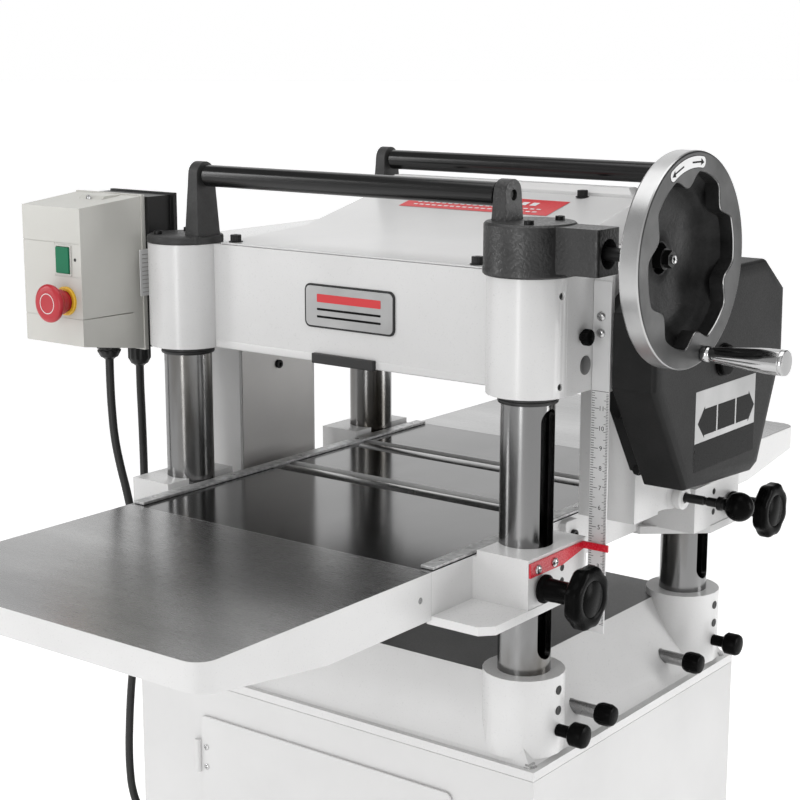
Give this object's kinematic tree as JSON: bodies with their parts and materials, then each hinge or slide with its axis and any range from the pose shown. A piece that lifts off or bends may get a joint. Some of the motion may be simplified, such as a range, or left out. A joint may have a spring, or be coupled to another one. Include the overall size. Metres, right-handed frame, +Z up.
{
  "type": "thickness planer",
  "caption": "Four-post thickness planer: lifting cast-iron table with extension wings under a powered cutterhead, with handwheel, stock rollers, switch box and closed cabinet stand.",
  "frame": {"origin": "on the floor under the stand's bottom plate, midway between the four columns", "axes": "+Z up; +X towards the handwheel and feed-gear side; -Y towards the infeed side where the operator stands; boards travel along +Y"},
  "size_m": [1.1195, 1.42, 1.283],
  "materials": {
    "white_paint": "slightly glossy off-white machine enamel on castings and sheet",
    "black_paint": "smooth satin black enamel",
    "wrinkle_paint": "rough black wrinkle paint on castings",
    "table_iron": "fine ground and polished dark cast iron on top, painted white sides",
    "extension_iron": "coarser ground light cast iron on top, painted white sides",
    "polished_steel": "polished turned steel with faint oil stain",
    "chrome": "polished",
    "aluminium": "satin rolled strip with black graduations",
    "galvanised": "matt rough galvanised strip",
    "black_plastic": "satin moulded black plastic",
    "grey_plastic": "fine-textured pale grey ABS",
    "red_plastic": "semi-gloss signal red",
    "red_paint": "gloss red enamel",
    "green_plastic": "satin green",
    "cord_rubber": "matt black cable jacket",
    "belt_rubber": "matt black ribbed rubber",
    "motor_paint": "satin black motor enamel"
  },
  "bodies": {
    "frame": {"cabinet_stand": "white_paint", "motor": "motor_paint", "base_casting": "white_paint", "lift_chain": "polished_steel", "head_casting": "white_paint", "top_cover": "white_paint", "dust_hood": "white_paint", "depth_limiter": "black_paint", "depth_scale": "aluminium", "gear_case": "white_paint", "gear_cover": "wrinkle_paint", "drive_belt": "belt_rubber", "belt_guard": "white_paint", "roller_bracket_front_left": "black_paint", "roller_bracket_rear_left": "black_paint", "roller_bracket_rear_right": "black_paint", "elevation_gearbox": "wrinkle_paint", "switch_housing": "grey_plastic", "contactor_box": "black_plastic", "motor_cord_gland": "black_plastic", "power_cord_gland": "black_plastic", "motor_cord": "cord_rubber", "power_cord": "cord_rubber", "power_cord_coil": "cord_rubber", "power_plug": "black_plastic", "column_front_left": "polished_steel", "column_front_right": "polished_steel", "column_rear_left": "polished_steel", "column_rear_right": "polished_steel"},
    "table": {"table_casting": "table_iron", "infeed_extension": "extension_iron", "outfeed_extension": "extension_iron", "side_rail_left": "galvanised", "side_rail_right": "galvanised", "scale_pointer": "red_paint"},
    "cutterhead": {"cutterhead": "polished_steel", "cutterhead_pulley": "table_iron"},
    "bed_roller_front": {"bed_roller_front": "polished_steel"},
    "bed_roller_rear": {"bed_roller_rear": "polished_steel"},
    "lock_knob_front": {"lock_knob_front": "black_plastic"},
    "lock_knob_rear": {"lock_knob_rear": "black_plastic"},
    "stand_door": {"stand_door": "white_paint"},
    "motor_pulley": {"motor_pulley": "table_iron"},
    "shift_rod": {"shift_rod": "black_plastic"},
    "infeed_roller": {"infeed_roller": "polished_steel"},
    "outfeed_roller": {"outfeed_roller": "belt_rubber"},
    "stock_roller_front": {"stock_roller_front": "black_paint"},
    "stock_roller_rear": {"stock_roller_rear": "black_paint"},
    "handwheel": {"handwheel": "chrome"},
    "handwheel_handle": {"handwheel_handle": "chrome"},
    "start_button": {"start_button": "green_plastic"},
    "stop_button": {"stop_button": "red_plastic"},
    "leadscrew_front_left": {"leadscrew_front_left": "polished_steel"},
    "lifting_bar_front_left": {"lifting_bar_front_left": "polished_steel"},
    "leadscrew_front_right": {"leadscrew_front_right": "polished_steel"},
    "lifting_bar_front_right": {"lifting_bar_front_right": "polished_steel"},
    "leadscrew_rear_left": {"leadscrew_rear_left": "polished_steel"},
    "lifting_bar_rear_left": {"lifting_bar_rear_left": "polished_steel"},
    "leadscrew_rear_right": {"leadscrew_rear_right": "polished_steel"},
    "lifting_bar_rear_right": {"lifting_bar_rear_right": "polished_steel"}
  },
  "joints": [
    {"name": "table_lift", "type": "slide", "parent": "frame", "child": "table", "axis": [0, 0, 1], "range_m": [-0.02, 0.175]},
    {"name": "handwheel_turn", "type": "hinge", "parent": "frame", "child": "handwheel", "pos_m": [0.45, -0.211, 1.158], "axis": [-1, 0, 0], "range_deg": [-3605, 31505]},
    {"name": "handle_spin", "type": "hinge", "parent": "handwheel", "child": "handwheel_handle", "pos_m": [0.56, -0.179, 1.047], "axis": [1, 0, 0], "continuous": true},
    {"name": "leadscrew_front_left_turn", "type": "hinge", "parent": "frame", "child": "leadscrew_front_left", "pos_m": [-0.29, -0.211, 0.8], "axis": [0, 0, 1], "range_deg": [-1805, 15755]},
    {"name": "leadscrew_front_right_turn", "type": "hinge", "parent": "frame", "child": "leadscrew_front_right", "pos_m": [0.29, -0.211, 0.8], "axis": [0, 0, 1], "range_deg": [-1805, 15755]},
    {"name": "leadscrew_rear_left_turn", "type": "hinge", "parent": "frame", "child": "leadscrew_rear_left", "pos_m": [-0.29, 0.211, 0.8], "axis": [0, 0, 1], "range_deg": [-1805, 15755]},
    {"name": "leadscrew_rear_right_turn", "type": "hinge", "parent": "frame", "child": "leadscrew_rear_right", "pos_m": [0.29, 0.211, 0.8], "axis": [0, 0, 1], "range_deg": [-1805, 15755]},
    {"name": "lifting_bar_front_left_pull", "type": "slide", "parent": "frame", "child": "lifting_bar_front_left", "axis": [-1, 0, 0], "range_m": [0, 0.08]},
    {"name": "lifting_bar_front_right_pull", "type": "slide", "parent": "frame", "child": "lifting_bar_front_right", "axis": [1, 0, 0], "range_m": [0, 0.08]},
    {"name": "lifting_bar_rear_left_pull", "type": "slide", "parent": "frame", "child": "lifting_bar_rear_left", "axis": [-1, 0, 0], "range_m": [0, 0.08]},
    {"name": "lifting_bar_rear_right_pull", "type": "slide", "parent": "frame", "child": "lifting_bar_rear_right", "axis": [1, 0, 0], "range_m": [0, 0.08]},
    {"name": "stock_roller_front_spin", "type": "hinge", "parent": "frame", "child": "stock_roller_front", "pos_m": [0, -0.211, 1.22], "axis": [1, 0, 0], "continuous": true},
    {"name": "stock_roller_rear_spin", "type": "hinge", "parent": "frame", "child": "stock_roller_rear", "pos_m": [0, 0.211, 1.22], "axis": [1, 0, 0], "continuous": true},
    {"name": "bed_roller_front_spin", "type": "hinge", "parent": "table", "child": "bed_roller_front", "pos_m": [0, -0.065, 0.7555], "axis": [1, 0, 0], "continuous": true},
    {"name": "bed_roller_rear_spin", "type": "hinge", "parent": "table", "child": "bed_roller_rear", "pos_m": [0, 0.116, 0.7555], "axis": [1, 0, 0], "continuous": true},
    {"name": "lock_knob_front_turn", "type": "hinge", "parent": "table", "child": "lock_knob_front", "pos_m": [0.35, -0.251, 0.747], "axis": [1, 0, 0], "range_deg": [0, 270]},
    {"name": "lock_knob_rear_turn", "type": "hinge", "parent": "table", "child": "lock_knob_rear", "pos_m": [0.35, 0.251, 0.747], "axis": [1, 0, 0], "range_deg": [0, 270]},
    {"name": "feed_shift", "type": "slide", "parent": "frame", "child": "shift_rod", "axis": [1, 0, 0], "range_m": [-0.012, 0.012]},
    {"name": "cutterhead_spin", "type": "hinge", "parent": "frame", "child": "cutterhead", "pos_m": [0, 0.023, 1.012], "axis": [1, 0, 0], "continuous": true},
    {"name": "motor_spin", "type": "hinge", "parent": "frame", "child": "motor_pulley", "pos_m": [-0.34, -0.021, 0.165], "axis": [1, 0, 0], "continuous": true},
    {"name": "infeed_roller_spin", "type": "hinge", "parent": "frame", "child": "infeed_roller", "pos_m": [0, -0.067, 0.9925], "axis": [1, 0, 0], "continuous": true},
    {"name": "outfeed_roller_spin", "type": "hinge", "parent": "frame", "child": "outfeed_roller", "pos_m": [0, 0.113, 0.9925], "axis": [1, 0, 0], "continuous": true},
    {"name": "start_press", "type": "slide", "parent": "frame", "child": "start_button", "axis": [0, 1, 0], "range_m": [0, 0.004], "stiffness_N_per_m": 400},
    {"name": "stop_press", "type": "slide", "parent": "frame", "child": "stop_button", "axis": [0, 1, 0], "range_m": [0, 0.006], "stiffness_N_per_m": 700},
    {"name": "door_swing", "type": "hinge", "parent": "frame", "child": "stand_door", "pos_m": [-0.226, -0.276, 0.25], "axis": [0, 0, -1], "range_deg": [0, 110]}
  ],
  "couplings": [
    {"joint": "handwheel_turn", "follows": "table_lift", "rad_per_m": 3141.6},
    {"joint": "leadscrew_front_left_turn", "follows": "table_lift", "rad_per_m": 1570.8},
    {"joint": "leadscrew_front_right_turn", "follows": "table_lift", "rad_per_m": 1570.8},
    {"joint": "leadscrew_rear_left_turn", "follows": "table_lift", "rad_per_m": 1570.8},
    {"joint": "leadscrew_rear_right_turn", "follows": "table_lift", "rad_per_m": 1570.8},
    {"joint": "motor_spin", "follows": "cutterhead_spin", "ratio": 0.61818},
    {"joint": "infeed_roller_spin", "follows": "cutterhead_spin", "ratio": -0.005556},
    {"joint": "outfeed_roller_spin", "follows": "cutterhead_spin", "ratio": -0.005556}
  ]
}
